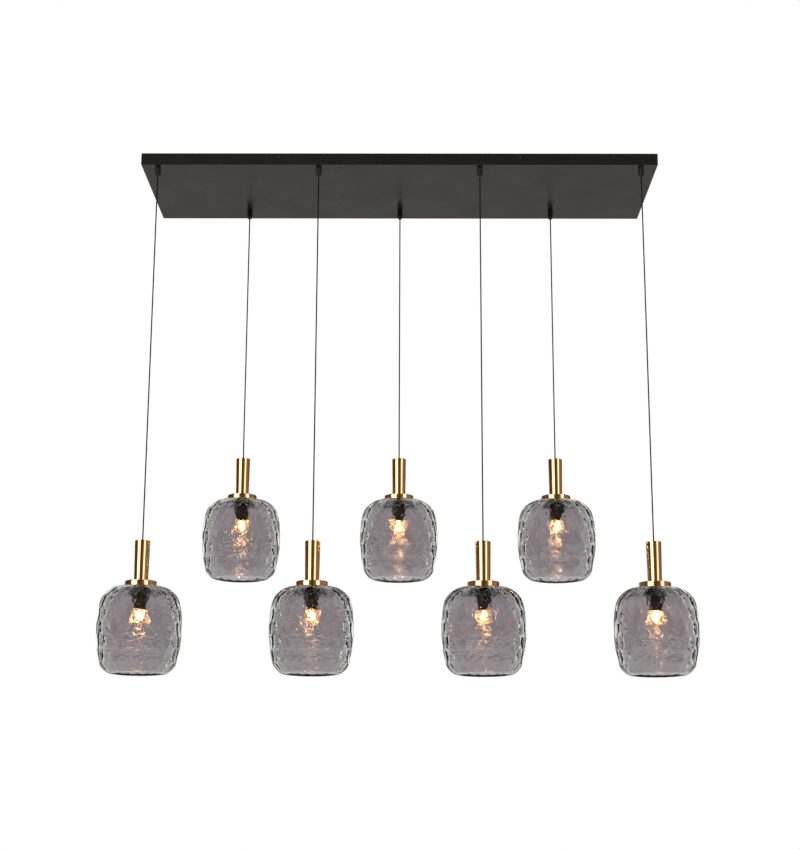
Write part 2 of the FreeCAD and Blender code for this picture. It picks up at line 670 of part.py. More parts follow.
def bulb(number):
    """Small golf-ball bulb: screw cap, neck, shoulder and globe."""
    shoulder = f"({BULB_CENTRE} + dims.bulb_shoulder)"
    stalk = turned_piece(f"bulb_stalk_{number}", [
        ("0", BULB_CAP_TOP), ("dims.bulb_cap_radius", BULB_CAP_TOP),
        ("dims.bulb_cap_radius", BULB_CAP_LOW), ("dims.bulb_neck_radius", BULB_CAP_LOW),
        ("dims.bulb_neck_radius", HOLDER_LOW), ("dims.bulb_shoulder", shoulder),
        ("0", BULB_CENTRE)])
    hang(stalk, number, f"-{pendant_drop(number)}")
    globe = doc.addObject("Part::Sphere", f"bulb_globe_{number}")
    globe.setExpression("Radius", "dims.bulb_radius")
    hang(globe, number, f"({BULB_CENTRE} - {pendant_drop(number)})")
    whole = doc.addObject("Part::MultiFuse", f"bulb_{number}")
    whole.Shapes = [stalk, globe]
    whole.Refine = True
    return whole


# ---- the whole fixture -----------------------------------------------------------------

nodes = [
    canopy_pan(),
    ceiling_bracket("ceiling_bracket_left", f"-{BRACKET_X}"),
    ceiling_bracket("ceiling_bracket_right", BRACKET_X),
    side_screws(),
    group("cord_grips", [cord_grip(number) for number in PENDANTS]),
    group("grip_nuts", [grip_nut(number) for number in PENDANTS]),
    group("clamp_screws", [clamp_rod(f"clamp_screw_{number}", number, "dims.clamp_screw_radius")
                           for number in PENDANTS]),
    group("canopy_leads", [canopy_lead(number) for number in PENDANTS]),
    terminal_block(),
    terminal_screws(),
    earth_terminal(),
]
for number in PENDANTS:
    for make in (cable_bend, cable, stem, cap, shade, lampholder, bulb):
        nodes.append(make(number))

doc.recompute()
for item in doc.Objects:
    if "Invalid" in item.State or "Error" in item.State:
        raise RuntimeError(f"{item.Label} failed: {item.State}")
    if item.TypeId == "Sketcher::SketchObject" and not item.FullyConstrained:
        raise RuntimeError(f"{item.Label} has free dimensions")
for node in nodes:
    if node.Shape.isNull() or not node.Shape.isValid() or not node.Shape.Solids:
        raise RuntimeError(f"{node.Label} has no sound shape")

os.makedirs("parts", exist_ok=True)
for node in nodes:
    node.Shape.exportStep(f"parts/{node.Label}.step")
    print(f"{node.Label}: {len(node.Shape.Solids)} solids, {node.Shape.Volume / 1000:.1f} cm3")
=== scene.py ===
# Cluster pendant: seven dimpled smoke-glass pendants under a long black ceiling canopy.
# Metres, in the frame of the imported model: the origin lies on the ceiling plane, +Z is up,
# X runs along the canopy and -Y is the front.
import math

import bpy
import numpy as np
from mathutils import Matrix, Vector


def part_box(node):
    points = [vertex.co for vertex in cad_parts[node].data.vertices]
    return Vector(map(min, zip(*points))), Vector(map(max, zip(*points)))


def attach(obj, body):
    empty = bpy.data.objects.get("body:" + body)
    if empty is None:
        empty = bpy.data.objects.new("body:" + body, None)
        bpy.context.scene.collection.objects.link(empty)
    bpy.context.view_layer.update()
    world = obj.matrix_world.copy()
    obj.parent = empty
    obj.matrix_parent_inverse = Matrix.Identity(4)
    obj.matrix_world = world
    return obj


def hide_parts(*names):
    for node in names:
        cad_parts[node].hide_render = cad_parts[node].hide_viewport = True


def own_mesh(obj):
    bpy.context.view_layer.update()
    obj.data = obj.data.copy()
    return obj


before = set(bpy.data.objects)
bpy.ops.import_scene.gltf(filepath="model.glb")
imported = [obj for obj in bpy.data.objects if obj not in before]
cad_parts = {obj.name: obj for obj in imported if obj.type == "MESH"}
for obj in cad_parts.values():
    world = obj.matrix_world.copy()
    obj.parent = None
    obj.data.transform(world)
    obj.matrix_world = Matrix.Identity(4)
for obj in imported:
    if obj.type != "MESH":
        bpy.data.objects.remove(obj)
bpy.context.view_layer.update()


# ==== canopy pan ==========================================================================
# The long shallow tray under the ceiling. It is folded from 1.5 mm steel, welded at its
# corners and powder-coated satin black, with the fine orange peel that powder leaves.

POWDER_BLACK = (0.0104, 0.0084, 0.0076, 1)
POWDER_GLOSS = 0.1
POWDER_ROUGHNESS = 0.3
POWDER_ROUGHNESS_DRIFT = 0.04
POWDER_CLOUD = 0.09
ORANGE_PEEL = 0.0016
ORANGE_PEEL_DEPTH = 0.00004
NOISE_LOW = 0.3
NOISE_HIGH = 0.7


def new_finish(name, colour, roughness, metallic=0.0):
    """Material with one Principled shader, and its shader."""
    finish = bpy.data.materials.new(name)
    finish.use_nodes = True
    shader = finish.node_tree.nodes["Principled BSDF"]
    shader.inputs["Base Color"].default_value = colour
    shader.inputs["Roughness"].default_value = roughness
    shader.inputs["Metallic"].default_value = metallic
    return finish, shader


def add_node(finish, kind, **settings):
    node = finish.node_tree.nodes.new(kind)
    for key, setting in settings.items():
        setattr(node, key, setting)
    return node


def join(finish, start, end):
    finish.node_tree.links.new(start, end)


def noise_pattern(finish, size, detail=2.0, stretch=(1, 1, 1)):
    """Noise whose grains are about one size, in metres, on the piece's own coordinates."""
    place = add_node(finish, "ShaderNodeTexCoord")
    scale = add_node(finish, "ShaderNodeMapping")
    scale.inputs["Scale"].default_value = [1 / (size * factor) for factor in stretch]
    noise = add_node(finish, "ShaderNodeTexNoise")
    noise.inputs["Scale"].default_value = 1.0
    noise.inputs["Detail"].default_value = detail
    join(finish, place.outputs["Object"], scale.inputs["Vector"])
    join(finish, scale.outputs["Vector"], noise.inputs["Vector"])
    return noise.outputs["Fac"]


def relief(finish, shader, height, depth):
    """Bump of a real depth from a 0 to 1 height."""
    bump = add_node(finish, "ShaderNodeBump")
    bump.inputs["Strength"].default_value = 1.0
    bump.inputs["Distance"].default_value = depth
    join(finish, height, bump.inputs["Height"])
    join(finish, bump.outputs["Normal"], shader.inputs["Normal"])


def roughen(finish, shader, pattern, low, high):
    """Let the roughness drift with a pattern between two levels."""
    mapped = add_node(finish, "ShaderNodeMapRange")
    mapped.inputs["From Min"].default_value = NOISE_LOW
    mapped.inputs["From Max"].default_value = NOISE_HIGH
    mapped.inputs["To Min"].default_value = low
    mapped.inputs["To Max"].default_value = high
    join(finish, pattern, mapped.inputs["Value"])
    join(finish, mapped.outputs["Result"], shader.inputs["Roughness"])


def shade_of(colour, share):
    return tuple(channel * share for channel in colour[:3]) + (1,)


def mottle(finish, shader, pattern, colour, dark, light):
    """Let a colour drift with a pattern between a darker and a lighter share of it."""
    ramp = add_node(finish, "ShaderNodeValToRGB")
    ramp.color_ramp.elements[0].position = NOISE_LOW
    ramp.color_ramp.elements[0].color = shade_of(colour, dark)
    ramp.color_ramp.elements[1].position = NOISE_HIGH
    ramp.color_ramp.elements[1].color = shade_of(colour, light)
    join(finish, pattern, ramp.inputs["Fac"])
    join(finish, ramp.outputs["Color"], shader.inputs["Base Color"])


def dress(node_name, finish):
    """Give a carried-over CAD piece its finish."""
    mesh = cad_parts[node_name].data
    mesh.materials.clear()
    mesh.materials.append(finish)


def powder_coat():
    finish, shader = new_finish("black_powder_coat", POWDER_BLACK, POWDER_ROUGHNESS)
    shader.inputs["Specular IOR Level"].default_value = POWDER_GLOSS
    peel = noise_pattern(finish, ORANGE_PEEL, detail=1.0)
    relief(finish, shader, peel, ORANGE_PEEL_DEPTH)
    cloud = noise_pattern(finish, POWDER_CLOUD, detail=4.0)
    mottle(finish, shader, cloud, POWDER_BLACK, dark=0.9, light=1.12)
    roughen(finish, shader, cloud, low=POWDER_ROUGHNESS - POWDER_ROUGHNESS_DRIFT,
            high=POWDER_ROUGHNESS + POWDER_ROUGHNESS_DRIFT)
    return finish


dress("canopy_pan", powder_coat())


# ==== ceiling brackets and side screws ====================================================
# Two steel straps screwed to the ceiling, zinc-plated, with turned-down tapped ends. Four
# blackened pan-head screws go through the pan's sides into them.

ZINC_GREY = (0.56, 0.57, 0.58, 1)
ZINC_SPANGLE = 0.006
ZINC_BRUSH_MARK = 0.0006
SCREW_BLACK = (0.045, 0.045, 0.048, 1)
SCREW_WEAR = 0.0015


def zinc_plate():
    finish, shader = new_finish("zinc_plated_steel", ZINC_GREY, roughness=0.38, metallic=1.0)
    spangle = noise_pattern(finish, ZINC_SPANGLE, detail=3.0)
    mottle(finish, shader, spangle, ZINC_GREY, dark=0.8, light=1.1)
    roughen(finish, shader, spangle, low=0.3, high=0.46)
    brushed = noise_pattern(finish, ZINC_BRUSH_MARK, detail=2.0, stretch=(1, 30, 1))
    relief(finish, shader, brushed, depth=0.00001)
    return finish


def blackened_steel():
    finish, shader = new_finish("blackened_screw_steel", SCREW_BLACK, roughness=0.34,
                                metallic=0.85)
    wear = noise_pattern(finish, SCREW_WEAR, detail=4.0)
    mottle(finish, shader, wear, SCREW_BLACK, dark=0.7, light=1.5)
    relief(finish, shader, wear, depth=0.00002)
    return finish


zinc = zinc_plate()
screw_steel = blackened_steel()
for bracket in ("ceiling_bracket_left", "ceiling_bracket_right"):
    dress(bracket, zinc)
dress("side_screws", screw_steel)


# ==== cord grips ==========================================================================
# Seven turned grips with a tapered mouth, lacquered black. Their threaded tails go through
# the pan and carry a plated nut, and a small screw in each side clamps the cable.

GRIP_BLACK = (0.004, 0.004, 0.0045, 1)
GRIP_GLOSS = 0.2
GRIP_TURNING = 0.0004
GRIP_CLOUD = 0.004


def black_lacquer():
    finish, shader = new_finish("black_lacquer", GRIP_BLACK, roughness=0.3)
    shader.inputs["Specular IOR Level"].default_value = GRIP_GLOSS
    turning = noise_pattern(finish, GRIP_TURNING, detail=1.0, stretch=(40, 40, 1))
    relief(finish, shader, turning, depth=0.000008)
    cloud = noise_pattern(finish, GRIP_CLOUD, detail=3.0)
    roughen(finish, shader, cloud, low=0.24, high=0.36)
    mottle(finish, shader, cloud, GRIP_BLACK, dark=0.8, light=1.3)
    return finish


dress("cord_grips", black_lacquer())
dress("clamp_screws", screw_steel)
dress("grip_nuts", zinc)


# ==== wiring in the canopy ================================================================
# The cables' upper ends run from the grips to a white nylon terminal block with plated
# screws. A stud with a nut, welded to the pan, takes the earth wire.

NYLON_WHITE = (0.72, 0.71, 0.67, 1)
NYLON_CLOUD = 0.008
NYLON_GRAIN = 0.0005
SHEATH_BLACK = (0.018, 0.018, 0.020, 1)
SHEATH_CLOUD = 0.003


def nylon():
    finish, shader = new_finish("white_nylon", NYLON_WHITE, roughness=0.5)
    shader.inputs["Subsurface Weight"].default_value = 0.15
    shader.inputs["Subsurface Scale"].default_value = 0.004
    cloud = noise_pattern(finish, NYLON_CLOUD, detail=3.0)
    mottle(finish, shader, cloud, NYLON_WHITE, dark=0.94, light=1.03)
    relief(finish, shader, noise_pattern(finish, NYLON_GRAIN), depth=0.000015)
    return finish


def smooth_sheath():
    finish, shader = new_finish("black_cable_sheath", SHEATH_BLACK, roughness=0.48)
    cloud = noise_pattern(finish, SHEATH_CLOUD, detail=3.0)
    mottle(finish, shader, cloud, SHEATH_BLACK, dark=0.8, light=1.25)
    relief(finish, shader, cloud, depth=0.00003)
    return finish


dress("terminal_block", nylon())
dress("terminal_screws", zinc)
dress("earth_terminal", zinc)
dress("canopy_leads", smooth_sheath())


# ==== suspension cables ===================================================================
# One round cable per pendant, 3.2 mm thick: two conductors in a braided black sleeve. It
# hangs straight from its grip's mouth to the top of the stem, and carries the pendant.

PENDANTS = range(1, 8)
GRIP_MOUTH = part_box("cord_grips")[0].z
CABLE_RADIUS = 0.0016
CABLE_SIDES = 20
CABLE_STEP = 0.01
CABLE_FOOT_GAP = 0.0003
ROUTE_SPANS = 3
BRAID_BLACK = (0.004, 0.004, 0.0045, 1)
BRAID_GLOSS = 0.1
BRAID_LENGTH = 0.0036
BRAID_STRANDS = 8
BRAID_DEPTH = 0.00012


def pendant_axis(number):
    low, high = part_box(f"stem_{number}")
    middle = (low + high) / 2
    return middle.x, middle.y


def route_points(name, controls):
    """Points along the smooth line of a route's NURBS spline."""
    curve = bpy.data.curves.new(name, "CURVE")
    curve.dimensions = "3D"
    spline = curve.splines.new("NURBS")
    spline.points.add(len(controls) - 1)
    for point, control in zip(spline.points, controls):
        point.co = (*control, 1)
    spline.order_u = 3
    spline.use_endpoint_u = True
    spline.resolution_u = round((controls[0] - controls[-1]).length / CABLE_STEP / 2)
    carrier = bpy.data.objects.new(name, curve)
    line = bpy.data.meshes.new_from_object(carrier)
    points = [vertex.co.copy() for vertex in line.vertices]
    bpy.data.objects.remove(carrier)
    bpy.data.curves.remove(curve)
    bpy.data.meshes.remove(line)
    return points


def cable_tube(name, points):
    """Round tube down a straight hanging line, with its length as V for the braid."""
    vertices = []
    for point in points:
        for side in range(CABLE_SIDES):
            angle = 2 * math.pi * side / CABLE_SIDES
            vertices.append(point + CABLE_RADIUS * Vector((math.cos(angle), math.sin(angle), 0)))
    faces = []
    spots = []
    for ring in range(len(points) - 1):
        for side in range(CABLE_SIDES):
            after = (side + 1) % CABLE_SIDES
            low, high = (ring + 1) * CABLE_SIDES, ring * CABLE_SIDES
            faces.append((high + side, low + side, low + after, high + after))
            for across, level in ((side, ring), (side, ring + 1), (side + 1, ring + 1),
                                  (side + 1, ring)):
                spots.append((across / CABLE_SIDES, (points[0] - points[level]).length))
    for ring, turn in ((0, 1), (len(points) - 1, -1)):
        faces.append([ring * CABLE_SIDES + side for side in range(CABLE_SIDES)][::turn])
        spots += [(0, 0)] * CABLE_SIDES
    mesh = bpy.data.meshes.new(name)
    mesh.from_pydata(vertices, [], faces)
    layer = mesh.uv_layers.new(name="along_the_cable")
    for loop, spot in zip(layer.data, spots):
        loop.uv = spot
    mesh.shade_smooth()
    tube = bpy.data.objects.new(name, mesh)
    bpy.context.scene.collection.objects.link(tube)
    return tube


def braided_sleeve():
    """Strands that wind round the cable both ways and cross in small diamonds. Their colour is
    darker in the grooves and lighter on the crowns: painted shade and painted highlight.
    """
    finish, shader = new_finish("braided_black_sleeve", BRAID_BLACK, roughness=0.75)
    shader.inputs["Specular IOR Level"].default_value = BRAID_GLOSS
    spot = add_node(finish, "ShaderNodeUVMap", uv_map="along_the_cable")
    split = add_node(finish, "ShaderNodeSeparateXYZ")
    join(finish, spot.outputs["UV"], split.inputs["Vector"])
    waves = []
    for turn in (1, -1):
        along = add_node(finish, "ShaderNodeMath", operation="MULTIPLY")
        along.inputs[1].default_value = 2 * math.pi / BRAID_LENGTH * turn
        join(finish, split.outputs["Y"], along.inputs[0])
        phase = add_node(finish, "ShaderNodeMath", operation="MULTIPLY_ADD")
        phase.inputs[1].default_value = 2 * math.pi * BRAID_STRANDS
        join(finish, split.outputs["X"], phase.inputs[0])
        join(finish, along.outputs["Value"], phase.inputs[2])
        wave = add_node(finish, "ShaderNodeMath", operation="SINE")
        join(finish, phase.outputs["Value"], wave.inputs[0])
        waves.append(wave.outputs["Value"])
    strand_height_and_painted_shade = add_node(finish, "ShaderNodeMath", operation="MULTIPLY_ADD")
    strand_height_and_painted_shade.inputs[2].default_value = 0.5
    join(finish, waves[0], strand_height_and_painted_shade.inputs[0])
    join(finish, waves[1], strand_height_and_painted_shade.inputs[1])
    relief(finish, shader, strand_height_and_painted_shade.outputs["Value"], BRAID_DEPTH)
    # The same strand height also sets the colour: painted shade in the grooves between strands and
    # a painted highlight on their crowns.
    mottle(finish, shader, strand_height_and_painted_shade.outputs["Value"], BRAID_BLACK, dark=0.6, light=1.3)
    return finish


sleeve = braided_sleeve()
for number in PENDANTS:
    x, y = pendant_axis(number)
    foot_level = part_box(f"stem_{number}")[1].z + CABLE_FOOT_GAP
    exit_point = Vector((x, y, GRIP_MOUTH))
    foot = Vector((x, y, foot_level))
    controls = [exit_point.lerp(foot, span / ROUTE_SPANS) for span in range(ROUTE_SPANS + 1)]
    points = route_points("cable_route", controls)
    cable = cable_tube(f"hanging_cable_{number}", points)
    cable.data.materials.append(sleeve)
    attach(cable, f"cable_{number}")
    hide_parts(f"cable_{number}", f"cable_bend_{number}")
    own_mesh(cable)


# ==== stems and caps ======================================================================
# Thin brass tube with a closed top, on a shallow pressed brass cap that sits on the glass.
# Both are polished, then lightly brushed round and lacquered.

BRASS = (0.80, 0.56, 0.30, 1)
BRASS_ROUGHNESS = 0.13
BRASS_PATINA = 0.012
BRUSHED_LINE = 0.0003


def lacquered_brass():
    finish, shader = new_finish("lacquered_brass", BRASS, BRASS_ROUGHNESS, metallic=1.0)
    shader.inputs["Coat Weight"].default_value = 0.2
    shader.inputs["Coat Roughness"].default_value = 0.08
    patina = noise_pattern(finish, BRASS_PATINA, detail=5.0)
    mottle(finish, shader, patina, BRASS, dark=0.95, light=1.03)
    lines = noise_pattern(finish, BRUSHED_LINE, detail=2.0, stretch=(60, 60, 1))
    roughen(finish, shader, lines, low=BRASS_ROUGHNESS - 0.04, high=BRASS_ROUGHNESS + 0.05)
    relief(finish, shader, lines, depth=0.0000005)
    return finish


brass = lacquered_brass()
for number in PENDANTS:
    dress(f"stem_{number}", brass)
    dress(f"cap_{number}", brass)


# ==== glass shades ========================================================================
# Smoke glass, open below, with a pale outside and a darker inside. It is blown into a mould
# that presses staggered rows of shallow dimples into its outside, and the inside follows
# them more softly. The wall is thickest at the belly.

GLASS_WALL = 0.003
BELLY_WALL = 0.011
SWELL_START = 0.012
SWELL_END = 0.004
BELLY_DEPTH = 0.098
SIDE_CURVE = 0.320
SHOULDER_CURVE = 0.052
CORNER_CURVE = 0.034
MOUTH_RADIUS = 0.055
NECK_RADIUS = 0.015
DIMPLE_COLUMNS = 20
DIMPLE_ROW = 0.032
DIMPLE_DEPTH = 0.0014
DIMPLE_LIMIT = 1.2
NECK_PLAIN = 0.030
NECK_FADE = 0.02
LIP_PLAIN = 0.004
LIP_FADE = 0.014
INNER_SHARE = 0.6
RIDGE_SOFTNESS = 0.09
RIDGE_NEARNESS = 0.22
SEGMENTS = 288
RING_STEP = 0.0025
LIP_STEPS = 7
CLEAR_LAYER = (0.62, 0.65, 0.62, 1)
SMOKE_LAYER = (0.435, 0.355, 0.405, 1)
GLASS_IOR = 1.55
OUTER_GLOSS = 0.2
INNER_GLOSS = 3.0
RIPPLE = 0.007
RIPPLE_STRETCH = (1.5, 1.5, 1)
RIPPLE_DEPTH = 0.0008
DENT_SPACING = 0.012
DENT_REACH = 0.34
DENT_DEPTH = 0.0007


def glass_profile(height, radius):
    """Outside of the glass from the neck over shoulder and belly to the mouth: rows of
    radius, level, outward radial, outward vertical and path length."""
    side_x, side_z = radius - SIDE_CURVE, height - BELLY_DEPTH
    rise = height - SHOULDER_CURVE - side_z
    fall = side_z - CORNER_CURVE
    shoulder_x = side_x + math.sqrt((SIDE_CURVE - SHOULDER_CURVE) ** 2 - rise ** 2)
    corner_x = side_x + math.sqrt((SIDE_CURVE - CORNER_CURVE) ** 2 - fall ** 2)
    upper = math.atan2(rise, shoulder_x - side_x)
    lower = math.atan2(-fall, corner_x - side_x)
    rows = []
    path = 0.0

    def walk(length, place):
        nonlocal path
        steps = max(1, round(length / RING_STEP))
        for step in range(steps):
            rows.append((*place(step / steps), path + length * step / steps))
        path += length

    def flat(start, end, level, up):
        walk(abs(end - start), lambda share: (start + (end - start) * share, level, 0.0, up))

    def bend(centre_x, centre_z, curve, start, end):
        def place(share):
            angle = start + (end - start) * share
            across, up = math.cos(angle), math.sin(angle)
            return centre_x + curve * across, centre_z + curve * up, across, up
        walk(curve * abs(end - start), place)

    flat(NECK_RADIUS, shoulder_x, height, 1.0)
    bend(shoulder_x, height - SHOULDER_CURVE, SHOULDER_CURVE, math.pi / 2, upper)
    bend(side_x, side_z, SIDE_CURVE, upper, lower)
    bend(corner_x, CORNER_CURVE, CORNER_CURVE, lower, -math.pi / 2)
    rows.append((MOUTH_RADIUS + GLASS_WALL / 2, 0.0, 0.0, -1.0, path))
    return np.array(rows)


def dimple_field(path, angle, total):
    """How far the dimples go in, 0 on their ridges and 1 at their middles."""
    column = angle / (2 * math.pi) * DIMPLE_COLUMNS
    row = path / DIMPLE_ROW
    weight = np.zeros_like(row + column)
    nearest_row = np.round(row)
    for row_step in (-1, 0, 1):
        centre_row = nearest_row + row_step
        shift = np.where(centre_row % 2 == 0, 0.0, 0.5)
        nearest_column = np.round(column - shift)
        for column_step in (-1, 0, 1):
            centre_column = nearest_column + column_step + shift
            distance = (column - centre_column) ** 2 + (row - centre_row) ** 2
            weight = weight + np.exp(-distance / RIDGE_SOFTNESS)
    depth = 1 + RIDGE_SOFTNESS * np.log(weight) / RIDGE_NEARNESS
    below_neck = np.clip((path - NECK_PLAIN) / NECK_FADE, 0, 1)
    above_lip = np.clip((total - path - LIP_PLAIN) / LIP_FADE, 0, 1)
    fade = below_neck * above_lip
    return np.clip(depth, 0, DIMPLE_LIMIT) * fade


def glass_mesh(height, radius):
    """Closed wall: dimpled outside, round lip at the mouth, inside and neck edge. Its first
    finish is on the outside and the lip, its second on the inside."""
    profile = glass_profile(height, radius)
    angle = np.linspace(0, 2 * math.pi, SEGMENTS, endpoint=False)[None, :]
    across, level, out, up, path = (column[:, None] for column in profile.T)
    total = profile[-1, 4]
    press = dimple_field(path, angle, total) * DIMPLE_DEPTH
    share = np.clip((path - SWELL_START) / (total - SWELL_START - SWELL_END), 0, 1)
    swell = 1 - (1 - np.sin(math.pi * share)) ** 3
    wall = GLASS_WALL + (BELLY_WALL - GLASS_WALL) * swell

    def surface(depth):
        reach = across - depth * out
        return np.stack([reach * np.cos(angle), reach * np.sin(angle),
                         level - depth * up + 0 * angle], axis=-1)

    outer = surface(press)
    inner = surface(press * INNER_SHARE + wall)[::-1]
    turn = np.linspace(0, math.pi, LIP_STEPS)[1:-1, None]
    reach = MOUTH_RADIUS + GLASS_WALL / 2 * (1 - np.sin(turn))
    rise = GLASS_WALL / 2 * (1 - np.cos(turn))
    lip = np.stack([reach * np.cos(angle), reach * np.sin(angle), rise + 0 * angle], axis=-1)
    rings = np.concatenate([outer, lip, inner])
    index = np.arange(len(rings) * SEGMENTS).reshape(len(rings), SEGMENTS)
    following = np.roll(index, -1, axis=0)
    faces = np.stack([index, following, np.roll(following, -1, axis=1),
                      np.roll(index, -1, axis=1)], axis=-1).reshape(-1, 4)
    mesh = bpy.data.meshes.new("dimpled_glass")
    mesh.from_pydata(rings.reshape(-1, 3).tolist(), [], faces.tolist())
    mesh.shade_smooth()
    is_inside = np.arange(len(faces)) >= (len(outer) + len(lip)) * SEGMENTS
    mesh.polygons.foreach_set("material_index", is_inside.astype(int))
    return mesh


def glass_layer(name, colour, gloss):
    """Glass of one colour, whose gloss scales the reflection that its IOR gives."""
    finish, shader = new_finish(name, colour, roughness=0.0)
    shader.inputs["Transmission Weight"].default_value = 1.0
    shader.inputs["IOR"].default_value = GLASS_IOR
    shader.inputs["Specular Tint"].default_value = (gloss, gloss, gloss, 1)
    return finish


def ripples_and_dents(finish):
    """Soft ripples all over, and small round dents. Both catch the bulb as warm glints."""
    place = add_node(finish, "ShaderNodeTexCoord")
    cells = add_node(finish, "ShaderNodeTexVoronoi")
    cells.inputs["Scale"].default_value = 1 / DENT_SPACING
    join(finish, place.outputs["Object"], cells.inputs["Vector"])
    dent = add_node(finish, "ShaderNodeMapRange", interpolation_type="SMOOTHSTEP")
    dent.inputs["From Max"].default_value = DENT_REACH
    dent.inputs["To Max"].default_value = DENT_DEPTH / RIPPLE_DEPTH
    join(finish, cells.outputs["Distance"], dent.inputs["Value"])
    ripple = noise_pattern(finish, RIPPLE, detail=1.0, stretch=RIPPLE_STRETCH)
    height = add_node(finish, "ShaderNodeMath", operation="ADD")
    join(finish, ripple, height.inputs[0])
    join(finish, dent.outputs["Result"], height.inputs[1])
    relief(finish, finish.node_tree.nodes["Principled BSDF"], height.outputs["Value"],
           RIPPLE_DEPTH)


shade_low, shade_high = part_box("shade_1")
glass = glass_mesh(shade_high.z - shade_low.z, (shade_high.x - shade_low.x) / 2)
glass.materials.append(glass_layer("clear_glass_outside", CLEAR_LAYER, OUTER_GLOSS))
smoke_layer = glass_layer("smoke_glass_inside", SMOKE_LAYER, INNER_GLOSS)
ripples_and_dents(smoke_layer)
glass.materials.append(smoke_layer)
for number in PENDANTS:
    x, y = pendant_axis(number)
    shade = bpy.data.objects.new(f"glass_shade_{number}", glass)
    bpy.context.scene.collection.objects.link(shade)
    shade.location = (x, y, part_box(f"shade_{number}")[0].z)
    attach(shade, f"head_{number}")
    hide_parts(f"shade_{number}")


# ==== lampholders =========================================================================
# Moulded black lampholder with a tapered lower end. Its threaded neck goes through the
# glass, and a ring on it clamps the glass against the cap.

HOLDER_BLACK = (0.05, 0.038, 0.03, 1)
HOLDER_CLOUD = 0.006
HOLDER_GRAIN = 0.0007


def moulded_black():
    finish, shader = new_finish("moulded_black", HOLDER_BLACK, roughness=0.42)
    cloud = noise_pattern(finish, HOLDER_CLOUD, detail=3.0)
    mottle(finish, shader, cloud, HOLDER_BLACK, dark=0.85, light=1.2)
    relief(finish, shader, noise_pattern(finish, HOLDER_GRAIN), depth=0.00002)
    return finish


holder_finish = moulded_black()
for number in PENDANTS:
    dress(f"lampholder_{number}", holder_finish)


# ==== bulbs ===============================================================================
# Small golf-ball lamp: a thin glass globe round a glowing core, on a plated screw cap that
# sits in the lampholder. A ball of brighter glow round the core is seen by reflections alone,
# and puts the warm glints on the glass below the bulb.

CONTACT_STEPS = [(0, 0), (0.003, 0), (0.0035, -0.001), (0.006, -0.002)]
BULB_CAP_RADIUS = 0.007
BULB_CAP_LENGTH = 0.020
THREAD_START = 0.003
THREAD_RUN_OUT = 0.005
THREAD_PITCH = 0.0035
THREAD_DEPTH = 0.0004
THREAD_STEPS = 8
BULB_NECK_RADIUS = 0.0105
BULB_NECK_LENGTH = 0.012
BULB_SHOULDER = 0.014
COLLAR_LIP = 0.001
GLOBE_SEAT = 0.0008
GLOW_RADIUS = 0.0135
CORE_TIP = 0.012
CORE_TIP_RADIUS = 0.0030
CORE_TIP_EDGE = 0.0115
CORE_RADIUS = 0.0085
CORE_NECK_ANGLE = 0.45
POLE_ANGLE = 0.2
BULB_SEGMENTS = 64
GLASS_BODY_SHARE = 0.8
GLOBE_WARM = (1.0, 0.50, 0.16, 1)
GLOW_WARM = (1.0, 0.58, 0.20, 1)
CORE_WARM = (1.0, 0.50, 0.09, 1)


def turned_mesh(name, profile):
    """Mesh turned about Z from (radius, level) points that start and end on the axis."""
    vertices = [(0, 0, profile[0][1])]
    for reach, level in profile[1:-1]:
        for side in range(BULB_SEGMENTS):
            angle = 2 * math.pi * side / BULB_SEGMENTS
            vertices.append((reach * math.cos(angle), reach * math.sin(angle), level))
    vertices.append((0, 0, profile[-1][1]))
    faces = []
    rings = len(profile) - 2
    for side in range(BULB_SEGMENTS):
        after = (side + 1) % BULB_SEGMENTS
        faces.append((0, 1 + side, 1 + after))
        for ring in range(rings - 1):
            upper, under = 1 + ring * BULB_SEGMENTS, 1 + (ring + 1) * BULB_SEGMENTS
            faces.append((upper + side, under + side, under + after, upper + after))
        last = 1 + (rings - 1) * BULB_SEGMENTS
        faces.append((last + after, last + side, len(vertices) - 1))
    mesh = bpy.data.meshes.new(name)
    mesh.from_pydata(vertices, [], faces)
    mesh.shade_smooth()
    return mesh


def ball_points(centre, radius, start, end, steps):
    """Points down a round globe, between two angles from its top."""
    return [(radius * math.sin(start + (end - start) * step / steps),
             centre + radius * math.cos(start + (end - start) * step / steps))
            for step in range(steps + 1)]


def screw_cap_profile():
    """Plated cap from its contact, at level 0, down to the neck."""
    thread = []
    turns = round((BULB_CAP_LENGTH - THREAD_RUN_OUT) / THREAD_PITCH)
    for step in range(turns * THREAD_STEPS + 1):
        swell = math.cos(2 * math.pi * step / THREAD_STEPS)
        thread.append((BULB_CAP_RADIUS - THREAD_DEPTH * (1 - swell) / 2,
                       -THREAD_START - THREAD_PITCH * step / THREAD_STEPS))
    return CONTACT_STEPS + thread + [(BULB_CAP_RADIUS, -BULB_CAP_LENGTH), (0, -BULB_CAP_LENGTH)]


def glowing(name, colour, strength, alpha=1.0):
    """Finish that gives light, and lets through what its alpha leaves."""
    finish, shader = new_finish(name, shade_of(colour, GLASS_BODY_SHARE), roughness=0.35)
    shader.inputs["Emission Color"].default_value = colour
    shader.inputs["Emission Strength"].default_value = strength
    shader.inputs["Alpha"].default_value = alpha
    return finish


